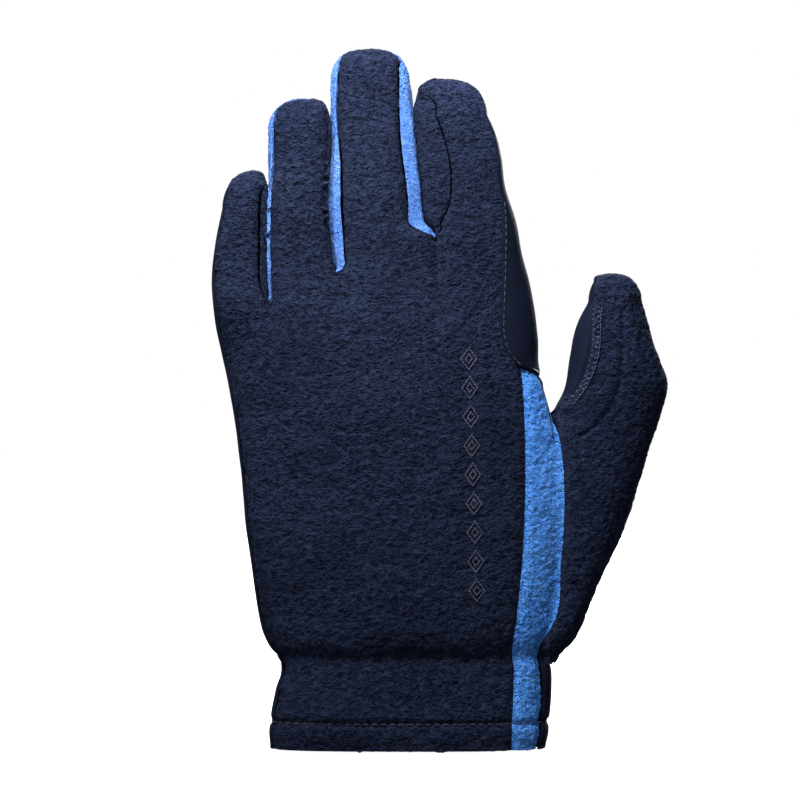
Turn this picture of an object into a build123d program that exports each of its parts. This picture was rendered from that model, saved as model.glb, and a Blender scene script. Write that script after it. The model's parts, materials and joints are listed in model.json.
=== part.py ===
"""Left-hand riding glove in pile fleece, standing on its cuff with the fingers up.

X runs to the thumb side, Y to the palm side and Z to the fingertips, in millimetres.
The origin is the centre of the wrist opening, in the plane of the hem.
"""
from build123d import *
import os
from math import cos, radians, sin, tan

os.makedirs("parts", exist_ok=True)

# Fabric
wall = 2.2                  # fleece and palm fabric, pile included
thread = 0.5                # how proud a line of stitching stands
binding_height = 1.1        # how proud the bound edge stands
elastic_thickness = 1.0
turnup_thickness = 0.9      # fabric turned up inside the hem
label_thickness = 0.4

# Cuff and hand, as widths to each side of the origin and depths from back to palm
cuff_little_side = 48.5
cuff_thumb_side = 48.3
cuff_depth = 30.0
wrist_height = 28.5
wrist_little_side = 45.0
wrist_thumb_side = 50.5
wrist_depth = 23.0
hand_depth = 26.0
heel_height = 44.0
heel_little_side = 52.0
heel_thumb_side = 53.5
palm_height = 77.0
palm_little_side = 57.0
palm_thumb_side = 56.0
crotch_height = 119.0
crotch_little_side = 61.6
crotch_thumb_side = 50.8
knuckle_height = 145.0      # the fold across the roots of the fingers
knuckle_little_side = 67.0
knuckle_depth = 24.0
root_height = knuckle_height + 13.0
root_depth = 21.0

# Fingers
finger_gap = 0.6            # between two fingers
finger_depth = 16.5
little_width, ring_width, middle_width, index_width = 19.6, 22.0, 31.9, 29.6
little_web, ring_web, middle_web = (knuckle_height + rise for rise in (12.5, 22.0, 35.0))
little_bend, ring_bend, middle_bend, index_bend = (
    knuckle_height + rise for rise in (34.0, 45.0, 52.0, 58.0))
little_tip, ring_tip, middle_tip, index_tip = (
    bend + reach for bend, reach in zip((little_bend, ring_bend, middle_bend, index_bend),
                                        (24.4, 38.8, 49.0, 32.8)))
tip_skews = {"little": 2.5, "ring": 3.0, "middle": 0.0, "index": -4.0}
web_inset = 2.4             # how far the fabric between two fingers lies in from the back
index_tilt = 6.3            # degrees that the index finger leans to the middle finger
ring_root_spread = 2.8      # how far each root is wider than the finger, to the thumb side
middle_root_spread = 4.2
index_root_spread = 9.8
side_strip = 3.2            # how much of a finger's width a side strip takes
index_side_strip = 5.5
tip_round = 10.5            # height of a rounded fingertip

# Thumb
thumb_depth = 19.0
thumb_line = 54.3           # X of the line that the thumb folds along
thumb_wide_height = crotch_height + 7.0
thumb_wide = 37.0
thumb_bend = crotch_height + 19.0
thumb_tip = thumb_bend + 29.2
thumb_tip_width = 15.5
thumb_patch = 7.0           # width of the smooth patch on the side that faces the index

# Trim
stripe_widths = (9.2, 9.4, 12.4, 13.4, 11.6, 7.4)     # from the hem to the binding
binding_drop = 11.3         # how far the bound edge lies below the knuckle fold
binding_width, binding_fall = 1.4, 2.7
hem_height = 9.5
elastic_height = 7.0
motif_height, motif_width, motif_pitch, motif_count = 7.4, 5.2, 10.1, 9
label_width, label_height = 22.0, 14.0

# Folds: where each hinge line lies behind the palm face, and its travel in degrees
knuckle_hinge_inset, finger_hinge_inset = 8.5, 4.65
fold_gap = 0.2              # clearance on each side of a fold
knuckle_flex, knuckle_extend = 75.0, 15.0
finger_flex, finger_extend = 90.0, 6.0
thumb_flex, thumb_extend = 45.0, 15.0
thumb_tip_flex, thumb_tip_extend = 50.0, 8.0

FAR = 300.0                 # larger than the glove


def tube(rows, inset=0.0):
    """A solid through rounded sections, given as height, low X, high X and depth."""
    with BuildPart() as solid:
        for height, low, high, depth in rows:
            width, thick = high - low - 2 * inset, depth - 2 * inset
            with BuildSketch(Plane.XY.offset(height)):
                with Locations(((low + high) / 2, 0)):
                    RectangleRounded(width, thick, 0.49 * min(width, thick))
        loft(ruled=True)
    return solid.part


def skin(rows, proud):
    """A layer of even thickness on the outside of a tube."""
    outside, inside = tube(rows, -proud), tube(rows)
    with BuildPart() as layer:
        add(outside)
        add(inside, mode=Mode.SUBTRACT)
    return layer.part


def block(low, high):
    """A box between two corners."""
    size = [b - a for a, b in zip(low, high)]
    middle = [(a + b) / 2 for a, b in zip(low, high)]
    with BuildPart() as solid:
        with Locations(tuple(middle)):
            Box(*size)
    return solid.part


def prism(points, near=-FAR, far=FAR):
    """A front-view outline (X, Z) carried from one Y to another."""
    with BuildPart() as solid:
        with BuildSketch(Plane.XZ.offset(-near)):
            with BuildLine():
                Polyline(*points, close=True)
            make_face()
        extrude(amount=near - far)
    return solid.part


def band(low_line, high_line, near=-FAR, far=FAR):
    """The prism between two lines that both run upwards."""
    return prism(list(low_line) + list(reversed(high_line)), near, far)


def joined(*solids):
    """Several solids as one."""
    with BuildPart() as whole:
        for solid in solids:
            add(solid)
    return whole.part


def common(*solids):
    """What all of the solids share."""
    with BuildPart() as shared:
        add(solids[0])
        for solid in solids[1:]:
            add(solid, mode=Mode.INTERSECT)
    return shared.part


class Fold:
    """A hinge line in the fabric. The far side of it swings to the palm."""

    def __init__(self, place, flex, extend, axis=(1, 0, 0)):
        self.plane = Plane(origin=place, x_dir=(0, 1, 0), z_dir=axis)
        self.flex, self.extend = tan(radians(flex / 2)), tan(radians(extend / 2))

    def side(self, sign):
        """All that lies beyond (1) or before (-1) the fold, mitred for its travel."""
        with BuildPart() as solid:
            with BuildSketch(self.plane):
                with BuildLine():
                    Polyline((0, sign * fold_gap), (FAR, sign * (fold_gap + FAR * self.flex)),
                             (FAR, sign * 2 * FAR), (-FAR, sign * 2 * FAR),
                             (-FAR, sign * (fold_gap + FAR * self.extend)), close=True)
                make_face()
            extrude(amount=FAR, both=True)
        return solid.part

    def crease(self):
        """The wedge on the palm side that the fold closes."""
        start = 2 * fold_gap
        with BuildPart() as solid:
            with BuildSketch(self.plane):
                with BuildLine():
                    Polyline((start, -start * self.flex), (FAR, -FAR * self.flex),
                             (FAR, FAR * self.flex), (start, start * self.flex), close=True)
                make_face()
            extrude(amount=FAR, both=True)
        return solid.part


# Lines between the fingers, little to index, as X by height
little_edge = -crotch_little_side - 7.0
line_1 = little_edge + little_width
line_2 = line_1 + ring_width
line_3 = line_2 + middle_width
index_edge = line_3 + index_width
top = max(little_tip, ring_tip, middle_tip, index_tip) + 2 * tip_round
lean = tan(radians(index_tilt))
between = {
    "little_ring": [(line_1, little_web), (line_1, top)],
    "ring_middle": [(line_2 + ring_root_spread, ring_web), (line_2, ring_bend), (line_2, top)],
    "middle_index": [(line_3 + middle_root_spread, middle_web), (line_3, middle_bend),
                     (line_3 - lean * (top - middle_bend), top)],
}


def shifted(line, amount):
    """A front-view line moved along X."""
    return [(x + amount, z) for x, z in line]


def at(line, height):
    """X of a front-view line at a height."""
    for (x1, z1), (x2, z2) in zip(line, line[1:]):
        if height <= z2:
            return x1 + (x2 - x1) * max(height - z1, 0) / (z2 - z1)
    return line[-1][0]


little_side = [(-cuff_little_side, -1), (-wrist_little_side, wrist_height),
               (-heel_little_side, heel_height), (-palm_little_side, palm_height),
               (-crotch_little_side, crotch_height), (-knuckle_little_side, knuckle_height),
               (little_edge, root_height), (little_edge + 1.6, little_bend),
               (little_edge + 3.6, little_bend + 12), (little_edge + 14, top)]
index_root = index_edge + index_root_spread
index_side = [(crotch_thumb_side, crotch_height), (index_root + 1.2, knuckle_height),
              (index_root, root_height), (index_edge + 6.6, middle_web),
              (index_edge, index_bend - 4), (index_edge - 8.5, index_bend + 25),
              (index_edge - 14, top)]

# The hand, the fingers and the thumb as runs of sections
hand_rows = [
    (0, -cuff_little_side, cuff_thumb_side, cuff_depth),
    (hem_height, -cuff_little_side, cuff_thumb_side, cuff_depth),
    (wrist_height, -wrist_little_side, wrist_thumb_side, wrist_depth),
    (heel_height, -heel_little_side, heel_thumb_side, hand_depth - 1),
    (palm_height, -palm_little_side, palm_thumb_side, hand_depth),
    (crotch_height, -crotch_little_side, crotch_thumb_side, hand_depth),
    (knuckle_height, -knuckle_little_side, at(index_side, knuckle_height), knuckle_depth),
    (root_height, little_edge, index_root, root_depth),
]


def finger_rows(low_line, high_line, bend, tip, skew):
    """Sections of one finger from inside the hand to its rounded tip."""
    half_gap = finger_gap / 2
    shoulder = tip - tip_round
    rows = []
    for height, depth in ((knuckle_height + 4, root_depth + 1), (root_height, root_depth - 0.5),
                          ((root_height + bend) / 2, (root_depth + finger_depth) / 2 - 0.5),
                          (bend, finger_depth), (shoulder, finger_depth - 1)):
        rows.append((height, at(low_line, height) + half_gap, at(high_line, height) - half_gap,
                     depth))
    _, low, high, depth = rows[-1]
    for turn in (38, 64, 80):
        rise, shrink = sin(radians(turn)), cos(radians(turn))
        half = (high - low) / 2 * shrink
        centre = (low + high) / 2 + skew * (1 - shrink)
        rows.append((shoulder + tip_round * rise, centre - half, centre + half,
                     depth * shrink ** 0.6))
    return rows


fingers = {
    "little": finger_rows(little_side, between["little_ring"], little_bend, little_tip,
                          tip_skews["little"]),
    "ring": finger_rows(between["little_ring"], between["ring_middle"], ring_bend, ring_tip,
                        tip_skews["ring"]),
    "middle": finger_rows(between["ring_middle"], between["middle_index"], middle_bend,
                          middle_tip, tip_skews["middle"]),
    "index": finger_rows(between["middle_index"], index_side, index_bend, index_tip,
                         tip_skews["index"]),
}
thumb_root = crotch_thumb_side + 0.4
thumb_middle = thumb_line + thumb_wide / 2
thumb_rows = [
    (wrist_height, 38.0, wrist_thumb_side, 12.0),
    (heel_height, 40.0, 61.8, 16.0),
    (palm_height - 10, 42.0, 71.8, 18.0),
    (palm_height, 44.0, 75.9, thumb_depth),
    (crotch_height - 7, 47.0, thumb_line + thumb_wide - 4.3, thumb_depth + 1),
    (crotch_height, thumb_root, thumb_line + thumb_wide - 1.5, thumb_depth + 1),
    (thumb_wide_height, thumb_line + 0.5, thumb_line + thumb_wide, thumb_depth),
    (thumb_bend + 4, thumb_line + 3.2, thumb_middle + 13.6, thumb_depth - 1.5),
    (thumb_tip - 10, thumb_middle - 9.0, thumb_middle - 9.0 + thumb_tip_width + 3.2, 14.5),
    (thumb_tip - 3.6, thumb_middle - 5.6, thumb_middle - 5.6 + thumb_tip_width - 4, 10.5),
    (thumb_tip, thumb_middle - 2.0, thumb_middle + 2.6, 4.6),
]

# One shell: outside less inside, less the gaps between the fingers
bridges, passages = [], []
web_y = root_depth / 2 - web_inset
for line in between.values():
    x, web = line[0]
    bridges.append(block((x - 5, -web_y, knuckle_height), (x + 5, web_y, web)))
    passages.append(block((x - 6, wall - web_y, knuckle_height - 2),
                          (x + 6, web_y - wall, web - wall)))
outside = joined(tube(hand_rows), tube(thumb_rows), *[tube(r) for r in fingers.values()], *bridges)
mouth = (-2.0, *hand_rows[0][1:])
ceiling = (root_height - wall, *hand_rows[-1][1:])
inside = joined(tube([mouth] + hand_rows[:-1] + [ceiling], wall), tube(thumb_rows[:-1], wall),
                *[tube(r[:-1], wall) for r in fingers.values()], *passages)
gaps = joined(*[band(shifted(line, -finger_gap / 2), shifted(line, finger_gap / 2))
                for line in between.values()])
with BuildPart() as shell:
    add(outside)
    add(inside, mode=Mode.SUBTRACT)
    add(gaps, mode=Mode.SUBTRACT)

# Folds and the bodies that they separate
hinge_y = hand_depth / 2 - knuckle_hinge_inset
finger_y = finger_depth / 2 - finger_hinge_inset
thumb_y = thumb_depth / 2 - finger_hinge_inset
knuckle_fold = Fold((0, hinge_y, knuckle_height), knuckle_flex, knuckle_extend)
thumb_fold = Fold((thumb_line, thumb_y, 0), thumb_flex, thumb_extend, axis=(0, 0, -1))
thumb_tip_fold = Fold((thumb_middle, thumb_y, thumb_bend), thumb_tip_flex, thumb_tip_extend)
tilted = (cos(radians(index_tilt)), 0, sin(radians(index_tilt)))
finger_folds = {
    "little": Fold((line_1, finger_y, little_bend), finger_flex, finger_extend),
    "ring": Fold((line_2, finger_y, ring_bend), finger_flex, finger_extend),
    "middle": Fold((line_2, finger_y, middle_bend), finger_flex, finger_extend),
    "index": Fold((at(between["middle_index"], index_bend), finger_y, index_bend), finger_flex,
                  finger_extend, axis=tilted),
}
floor = knuckle_height - 20
lines = [[(-FAR, floor), (-FAR, top)]]
lines += [[(line[0][0], floor)] + line for line in between.values()]
lines += [[(thumb_line - 1.5, floor), (thumb_line - 1.5, top)]]
columns = dict(zip(fingers, (band(a, b) for a, b in zip(lines, lines[1:]))))

hand_side = thumb_fold.side(-1)
thumb_side = thumb_fold.side(1)
bodies = {
    "hand": common(shell.part, knuckle_fold.side(-1), hand_side),
    "thumb": common(shell.part, thumb_side, thumb_tip_fold.side(-1)),
    "thumb_tip": common(shell.part, thumb_side, thumb_tip_fold.side(1)),
    "knuckles": common(shell.part, knuckle_fold.side(1), joined(
        *[common(columns[f], finger_folds[f].side(-1)) for f in fingers])),
}
for f in fingers:
    bodies[f + "_tip"] = common(shell.part, columns[f], finger_folds[f].side(1))
creases = {
    "knuckle_crease": common(shell.part, knuckle_fold.crease(), hand_side),
    "thumb_crease": common(shell.part, thumb_fold.crease(),
                           block((0, -FAR, 0), (FAR, FAR, crotch_height + 12))),
    "thumb_tip_crease": common(shell.part, thumb_tip_fold.crease(), thumb_side),
}
for f in fingers:
    creases[f + "_crease"] = common(shell.part, columns[f], finger_folds[f].crease())

# Panel outlines, seen from the back of the hand
stripe_left = [(36.4, -1), (37.2, wrist_height), (38.2, heel_height + 2), (40.5, palm_height),
               (41.0, crotch_height - 7), (39.6, knuckle_height - binding_drop)]
stripe_right = [(x + w, z) for (x, z), w in zip(stripe_left, stripe_widths)]
wrap_line = [(39.6, knuckle_height - binding_drop - 0.1), (34.7, knuckle_height - 6.7),
             (32.3, knuckle_height), (32.6, middle_web), (index_edge - 3.4, index_bend - 5),
             (index_edge - 6.5, index_bend + 14), (index_edge - 14, index_tip - 3)]
patch_line = [(thumb_line - 9, crotch_height + 1), (thumb_line + 4.2, thumb_wide_height),
              (thumb_line + thumb_patch + 2.4, thumb_bend + 2),
              (thumb_line + thumb_patch + 3.1, thumb_tip - 8), (thumb_middle - 2.8, thumb_tip + 1)]
back_side = block((-FAR, -FAR, -FAR), (FAR, 0, FAR))
side_line = shifted(little_side, side_strip)
side_region = band(shifted(little_side, -20), side_line)
stripe_region = band(stripe_left, stripe_right, far=0)
back_limit = stripe_left + wrap_line[1:]
wrap_region = band(wrap_line, shifted(wrap_line, 60), far=0)


def leg(line, web, width):
    """The region of a side strip that runs up one side of a finger from the web."""
    start = (line[0][0], web - wall)
    near, far = sorted((0, width))
    return band(shifted([start] + line, near), shifted([start] + line, far))


legs = {
    "little_inner_strip": ("little", leg(between["little_ring"], little_web, -side_strip)),
    "ring_blue_strip": ("ring", leg(between["little_ring"], little_web, side_strip)),
    "ring_inner_strip": ("ring", leg(between["ring_middle"], ring_web, -side_strip)),
    "middle_blue_strip_left": ("middle", leg(between["ring_middle"], ring_web, side_strip)),
    "middle_blue_strip_right": ("middle", leg(between["middle_index"], middle_web, -side_strip)),
    "index_inner_strip": ("index", leg(between["middle_index"], middle_web, index_side_strip)),
}

pieces = {}


def split_off(name, rest, region):
    """Keep what a region holds of a body under a name, and return what is left."""
    pieces[name] = common(rest, region)
    with BuildPart() as remains:
        add(rest)
        add(region, mode=Mode.SUBTRACT)
    return remains.part


# Hand: back, side stripe, little-side strip and palm
rest = split_off("side_stripe", bodies["hand"], stripe_region)
rest = split_off("little_side_strip", rest, side_region)
pieces["palm_panel"] = split_off(
    "back_panel", rest, band([(-FAR, -1), (-FAR, top)], back_limit, far=0))

# Knuckles: the roots of the fingers, with the side strips between them
rest = split_off("knuckle_side_strip", bodies["knuckles"], side_region)
for name, (finger, region) in legs.items():
    rest = split_off(name, rest, region)
rest = split_off("index_wrap", rest, wrap_region)
pieces["knuckle_palm"] = split_off("knuckle_back", rest, back_side)

# Fingertips
for finger in fingers:
    rest = bodies[finger + "_tip"]
    if finger == "little":
        rest = split_off("little_tip_side_strip", rest, side_region)
    if finger == "index":
        rest = split_off("index_tip_wrap", rest, wrap_region)
    for name, (owner, region) in legs.items():
        if owner == finger:
            rest = split_off(name.replace("strip", "tip_strip"), rest, region)
    pieces[finger + "_tip_palm"] = split_off(finger + "_tip_back", rest, back_side)

# Thumb: fleece back, smooth patch towards the index finger and palm side
patch_region = band(shifted(patch_line, -30), patch_line, far=0)
for name in ("thumb", "thumb_tip"):
    rest = split_off(name + "_patch", bodies[name], patch_region)
    pieces[name + "_palm"] = split_off(name + "_back", rest, back_side)

pieces.update(creases)

# Trim on the outside: a layer as proud as the thread or the binding
hand_skin = skin(hand_rows, thread)
pieces["hem_stitching"] = common(hand_skin, block((-FAR, -FAR, hem_height - thread),
                                                  (FAR, FAR, hem_height + thread)))
binding_line = [stripe_left[-1], (stripe_right[-1][0] + 0.5, stripe_left[-1][1] - binding_fall)]
binding_foot = [(x, z - binding_width) for x, z in reversed(binding_line)]
binding_region = prism(binding_line + binding_foot, far=0)
pieces["stripe_binding"] = common(skin(hand_rows, binding_height), binding_region)
motif_foot = (24.0, 56.0)   # the run of lozenges leans slightly to the little side
with BuildPart() as lozenges:
    for n in range(motif_count):
        centre = (motif_foot[0] - 0.35 * n, motif_foot[1] + motif_pitch * n)
        with BuildSketch(Plane.XZ):
            with Locations(centre):
                Polygon((-motif_width / 2, 0), (0, -motif_height / 2), (motif_width / 2, 0),
                        (0, motif_height / 2))
        extrude(amount=hand_depth)
pieces["embroidered_motif"] = common(hand_skin, lozenges.part)
finger_skin = skin(fingers["index"], thread)
topstitch = band(shifted(wrap_line, -2.2), shifted(wrap_line, -1.4), far=0)
pieces["index_topstitch"] = common(finger_skin, topstitch, knuckle_fold.side(1),
                                   finger_folds["index"].side(-1),
                                   block((-FAR, -FAR, root_height), (FAR, FAR, FAR)))
ridge = band(shifted(patch_line, -1.5), shifted(patch_line, 1.5), far=0)
pieces["thumb_seam_ridge"] = common(skin(thumb_rows, thread), ridge, thumb_side,
                                    thumb_tip_fold.side(-1))

# Inside the cuff
lining_rows = [mouth] + hand_rows[:4]


def lining(thickness, low, high):
    """A layer inside the wall of the cuff between two heights."""
    with BuildPart() as layer:
        add(tube(lining_rows, wall))
        add(tube(lining_rows, wall + thickness), mode=Mode.SUBTRACT)
        add(block((-FAR, -FAR, low), (FAR, FAR, high)), mode=Mode.INTERSECT)
    return layer.part


elastic_low = wrist_height - elastic_height / 3
pieces["wrist_elastic"] = lining(elastic_thickness, elastic_low, elastic_low + elastic_height)
pieces["hem_turnup"] = lining(turnup_thickness, 0, hem_height)
pieces["care_label"] = common(lining(label_thickness, hem_height, hem_height + label_height),
                              block((-label_width / 2, 0, 0), (label_width / 2, FAR, FAR)))

for name, solid in pieces.items():
    with BuildPart() as piece:
        add(solid)
    piece.part.label = name
    export_step(piece.part, "parts/" + name + ".step")
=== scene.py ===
"""The look of a left-hand riding glove in pile fleece, built round its CAD frame.

Lengths in this script are in millimetres until a mesh is finished, when MM turns them
into metres. The camera, the lights and the materials are in metres throughout. X runs to
the thumb, Y to the palm and Z to the fingertips.
"""

import json
from math import cos, pi, radians, sin

import bmesh
import bpy
import numpy as np
from mathutils import Matrix, Vector, noise


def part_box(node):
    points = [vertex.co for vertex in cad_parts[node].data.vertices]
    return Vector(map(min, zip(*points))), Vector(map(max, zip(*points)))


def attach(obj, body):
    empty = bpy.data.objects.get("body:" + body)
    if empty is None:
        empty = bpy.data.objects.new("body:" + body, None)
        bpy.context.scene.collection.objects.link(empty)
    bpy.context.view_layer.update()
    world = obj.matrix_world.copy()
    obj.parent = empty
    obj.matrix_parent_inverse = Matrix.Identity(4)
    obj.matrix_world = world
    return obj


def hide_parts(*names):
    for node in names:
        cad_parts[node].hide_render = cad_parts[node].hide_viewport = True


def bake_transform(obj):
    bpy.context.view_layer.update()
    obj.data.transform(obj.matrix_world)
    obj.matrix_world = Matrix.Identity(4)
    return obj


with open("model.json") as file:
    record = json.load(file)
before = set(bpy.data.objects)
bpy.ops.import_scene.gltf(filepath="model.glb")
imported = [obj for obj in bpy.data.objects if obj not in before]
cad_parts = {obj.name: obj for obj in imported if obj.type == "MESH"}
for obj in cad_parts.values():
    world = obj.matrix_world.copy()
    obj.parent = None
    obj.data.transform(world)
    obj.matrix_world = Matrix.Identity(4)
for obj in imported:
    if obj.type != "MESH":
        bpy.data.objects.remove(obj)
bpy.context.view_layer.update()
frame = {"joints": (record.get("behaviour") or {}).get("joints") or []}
MM = 0.001

# ------------------------------------------------------------------ driving sizes
FINE = 0.7                  # cell of a pile fabric's mesh
PLAIN = 1.3                 # cell of a smooth fabric's mesh
FABRIC = 1.7                # thickness of a panel
FINGER_GAP = 0.08           # half the space between two fingers
WEB_OPENS = 3.0             # height over which the cloth parts above a web
PALM_INSET = 2.4            # how far a palm panel stops short of the outline
LITTLE_INSET = 0.8          # what the little finger's palm stops short besides
BORDER_DEPTH = 0.62         # depth of a panel's border, as a share of the half depth
TIP_TURN = 0.985            # share of the quarter turn at which a tip is closed
TIP_TAPER = 0.82            # how fast a tip narrows; below 1 is blunt
TIP_FLATTEN = 0.8           # how fast a tip thins; below 1 is blunt
CREST = 2.4                 # roundness of the hand's section
SEAM_ANGLE = radians(62)    # an edge sharper than this is shaded sharp
PILE_SEED = 7               # fixes the pattern of the pile
noise.seed_set(PILE_SEED)   # the noise's vectors are otherwise offset by the clock
joint_at = {j["name"]: j for j in frame["joints"]}


def joint_height(name):
    """Height of a joint's hinge line, in millimetres."""
    return joint_at[name]["pos_m"][2] / MM


def top_of(node):
    """The highest point of a CAD node, in millimetres."""
    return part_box(node)[1][2] / MM


KNUCKLES = joint_height("knuckle_bend")
HEM_LINE = (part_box("hem_stitching")[0][2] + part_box("hem_stitching")[1][2]) / 2 / MM
WRIST = (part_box("wrist_elastic")[0][2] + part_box("wrist_elastic")[1][2]) / 2 / MM


def snapped(height):
    """The nearest height that is a whole number of fine cells above the hem."""
    return round(height / FINE) * FINE


def curve(*points):
    """A smooth function through a few (height, value) points."""
    t, y = (np.array(column, float) for column in zip(*points))
    slope = np.gradient(y, t)

    def at(z):
        z = np.clip(z, t[0], t[-1])
        i = np.clip(np.searchsorted(t, z) - 1, 0, len(t) - 2)
        span = t[i + 1] - t[i]
        u = (z - t[i]) / span
        return ((2 * u**3 - 3 * u**2 + 1) * y[i] + (u**3 - 2 * u**2 + u) * span * slope[i]
                + (3 * u**2 - 2 * u**3) * y[i + 1] + (u**3 - u**2) * span * slope[i + 1])

    return at


def ease(x):
    """0 below 0, 1 above 1 and a smooth step between."""
    x = np.clip(x, 0, 1)
    return x * x * (3 - 2 * x)


# ------------------------------------------------------------------ outlines, X by height
little_edge = curve((0, -48.6), (9.5, -48.4), (20, -46.6), (28.5, -45), (34, -47.4),
                    (42.4, -51.4), (66.5, -55.4), (89, -58.2), (104, -59.9), (120, -61.7),
                    (137.6, -65.1), (149.5, -67.6), (161.4, -68.7), (170.8, -68.6),
                    (182, -67), (191.5, -64.8))
thumb_side_edge = curve((0, 48.3), (9.5, 49.3), (20, 50.2), (28.5, 50.6), (35, 49.6),
                        (44, 52.6), (66.5, 55), (77, 56), (112.5, 53.9), (119, 51.7),
                        (127.8, 48.6), (132, 46.7), (145, 45.7), (156, 44.4), (172, 41),
                        (186.4, 38.2), (197.8, 34.7), (208.3, 32.8), (218.4, 30), (223, 27.6))
stripe_inner = curve((0, 36.4), (19.6, 37.1), (28.6, 37.3), (35.2, 36.7), (46.4, 38.2),
                     (66.5, 40.2), (77, 40.8), (112.5, 41), (123, 40.6), (130, 40.1), (134, 39.6))
stripe_outer = curve((0, 45.6), (8.9, 46.9), (18.3, 47.4), (28.6, 46.7), (35.2, 46.3),
                     (44.2, 50.5), (66.5, 53.2), (77, 54.2), (112.5, 52.1), (119, 50.6),
                     (130.3, 47.2), (134, 46.2))
back_edge = curve((0, 36.4), (19.6, 37.1), (28.6, 37.3), (35.2, 36.7), (46.4, 38.2),
                  (66.5, 40.2), (77, 40.8), (112.5, 41), (123, 40.6), (130, 40.1), (133, 39.6),
                  (134.6, 38.4), (138.3, 34.9),
                  (142, 33.1), (146, 32.3), (154, 32.4), (170, 32.9), (189.5, 32.8),
                  (197, 31.9), (208, 31.2), (217, 29.4), (223, 26.6))
wrap_edge = curve((108, 52.4), (119, 50.6), (126, 48.7), (130.4, 47.2), (131.6, 45.5),
                  (133.4, 40.2), (134.6, 38.6), (138.3, 34.9), (142, 33.1), (146, 32.3),
                  (154, 32.4), (170, 32.9), (189.5, 32.8), (197, 31.9), (208, 31.2),
                  (217, 29.4), (223, 26.6))
palm_edge = curve((0, 45.3), (9.5, 46.2), (28.5, 47.2), (33, 46.6), (50, 46.4), (112, 46.4),
                  (119, 46.6), (127.8, 44.6), (132, 43), (145, 42), (156, 40.5), (172, 37.2),
                  (186, 34.4), (198, 31), (208, 29.2), (218, 26.6), (223, 24.6))
thumb_inner = curve((30, 46.4), (35.2, 45.5), (44.2, 48.5), (66.5, 50), (77, 50), (100, 49),
                    (112, 49.6), (119, 51.6), (126, 54.9), (138, 56.7), (145.5, 58.3),
                    (151.4, 60.4), (157, 63.4))
thumb_outer = curve((28.1, 51.0), (30, 52.6), (42.4, 60.8), (58.5, 67.9), (66.5, 71.7),
                    (77, 75.9), (98, 83.1), (112, 87.7), (119, 89.9), (126.4, 91.5),
                    (130, 91.2), (136, 88.9), (142.4, 86.6), (150, 84.7), (157, 82.6))
patch_edge = curve((119, 53.5), (122, 55.6), (126, 58.7), (132, 61.6), (140, 63.8),
                   (150, 64.3), (157, 64.9))

# Lines between the fingers, from the hem up, and where each pair parts
between = (
    curve((0, -30), (60, -36), (120, -44), (157.5, -49), (170, -49), (250, -49)),
    curve((0, -9), (80, -15), (130, -21), (164, -24.4), (168, -25.4), (173, -26.6), (180, -27.4),
          (190, -28.1), (198, -27.9), (206, -27.3), (214, -27.1), (250, -27.1)),
    curve((0, 13), (80, 12), (140, 10.5), (176, 9.9), (180.6, 9.7), (182.6, 8.6), (184.6, 6.4),
          (187, 5.6), (191, 5.2), (196, 4.8), (212, 3.2), (227, 1.6), (240, -0.1), (250, -1.2)),
)
webs = tuple(snapped(z) for z in (157.5, 167.2, 180.6))


class Finger:
    """One finger's outline, tip and joint."""

    def __init__(self, name, column, shoulder, skew, low_strip, high_strip, split):
        self.name, self.column, self.skew = name, column, skew
        self.shoulder, self.tip = shoulder, top_of(name + "_tip_back")
        self.low = between[column - 1] if column else little_edge
        self.high = between[column] if column < 3 else thumb_side_edge
        self.low_web = webs[column - 1] if column else None
        self.high_web = webs[column] if column < 3 else None
        self.low_strip, self.high_strip = low_strip, high_strip
        self.bend = joint_height(name + "_bend")
        self.split = snapped(split)


fingers = [
    Finger("little", 0, 190.0, 3.7, curve((0, 1.2), (140, 1.2), (200, 1.2), (250, 1.2)),
           curve((157, 0.6), (163, 2.3), (175, 2.6), (205, 2.2)), 168),
    Finger("ring", 1, 218.2, 3.4,
           curve((157, 1.2), (160, 0.9), (164, 0.35), (196, 0.35), (203, 1.1), (230, 1.3)),
           curve((167, 0.3), (173, 0.5), (190, 0.5), (230, 0.6)), 179),
    Finger("middle", 2, 235.3, -0.9,
           curve((167, 2.6), (170, 3.6), (178, 4.3), (192, 4.3), (204, 3.6), (217, 2.0),
                 (228, 1.6), (237, 2.2)),
           curve((180, 3.6), (182, 5.2), (190, 4.8), (196, 4.9), (212, 5.3), (227, 4.4),
                 (240, 2.6)), 186),
    Finger("index", 3, 222.8, -4.4,
           curve((180, 0.3), (184, 4.2), (189.5, 8.2), (199.5, 10.2), (210.7, 10.0),
                 (222, 7.4)),
           None, 192),
]

# ------------------------------------------------------------------ depth of each side
half_depth = curve((0, 14.0), (9.5, 14.2), (20, 12.2), (28.5, 11.0), (36, 11.6), (50, 13.2),
                   (77, 13.6), (110, 13.4), (145, 12.2), (160, 10.8), (180, 9.4), (210, 8.4),
                   (250, 8.0))
thumb_depth = curve((28, 5.0), (36, 7.4), (60, 9.2), (100, 10.4), (126, 10.2), (145, 9.2),
                    (157, 8.2), (170, 8))


def rounded(x, centre, half, sharp=3.0, crown=CREST):
    """A flat-topped arch: 1 over the centre and 0 at the sides."""
    reach = np.clip(np.abs((x - centre) / half), 0, 1)
    return (1 - reach**sharp) ** (1 / crown)


def hand_height(x, z):
    """How far the hand stands from the middle plane, with the thumb's base joined on."""
    low, high = little_edge(z), thumb_side_edge(z)
    hand = half_depth(z) * rounded(x, (low + high) / 2, (high - low) / 2)
    inner, outer = thumb_inner(z), thumb_outer(z)
    thumb = np.where(z > 28.1, thumb_depth(z) * rounded(x, (inner + outer) / 2,
                                                        (outer - inner) / 2, 2.5, 2.0), 0)
    return (hand**6 + thumb**6) ** (1 / 6)


def web_opening(z, web):
    """How far the cloth has parted above a web: 0 at the web, rounding out to 1."""
    rise = np.clip((z - web) / WEB_OPENS, 0, 1)
    return np.sqrt(rise * (2 - rise))


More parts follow.
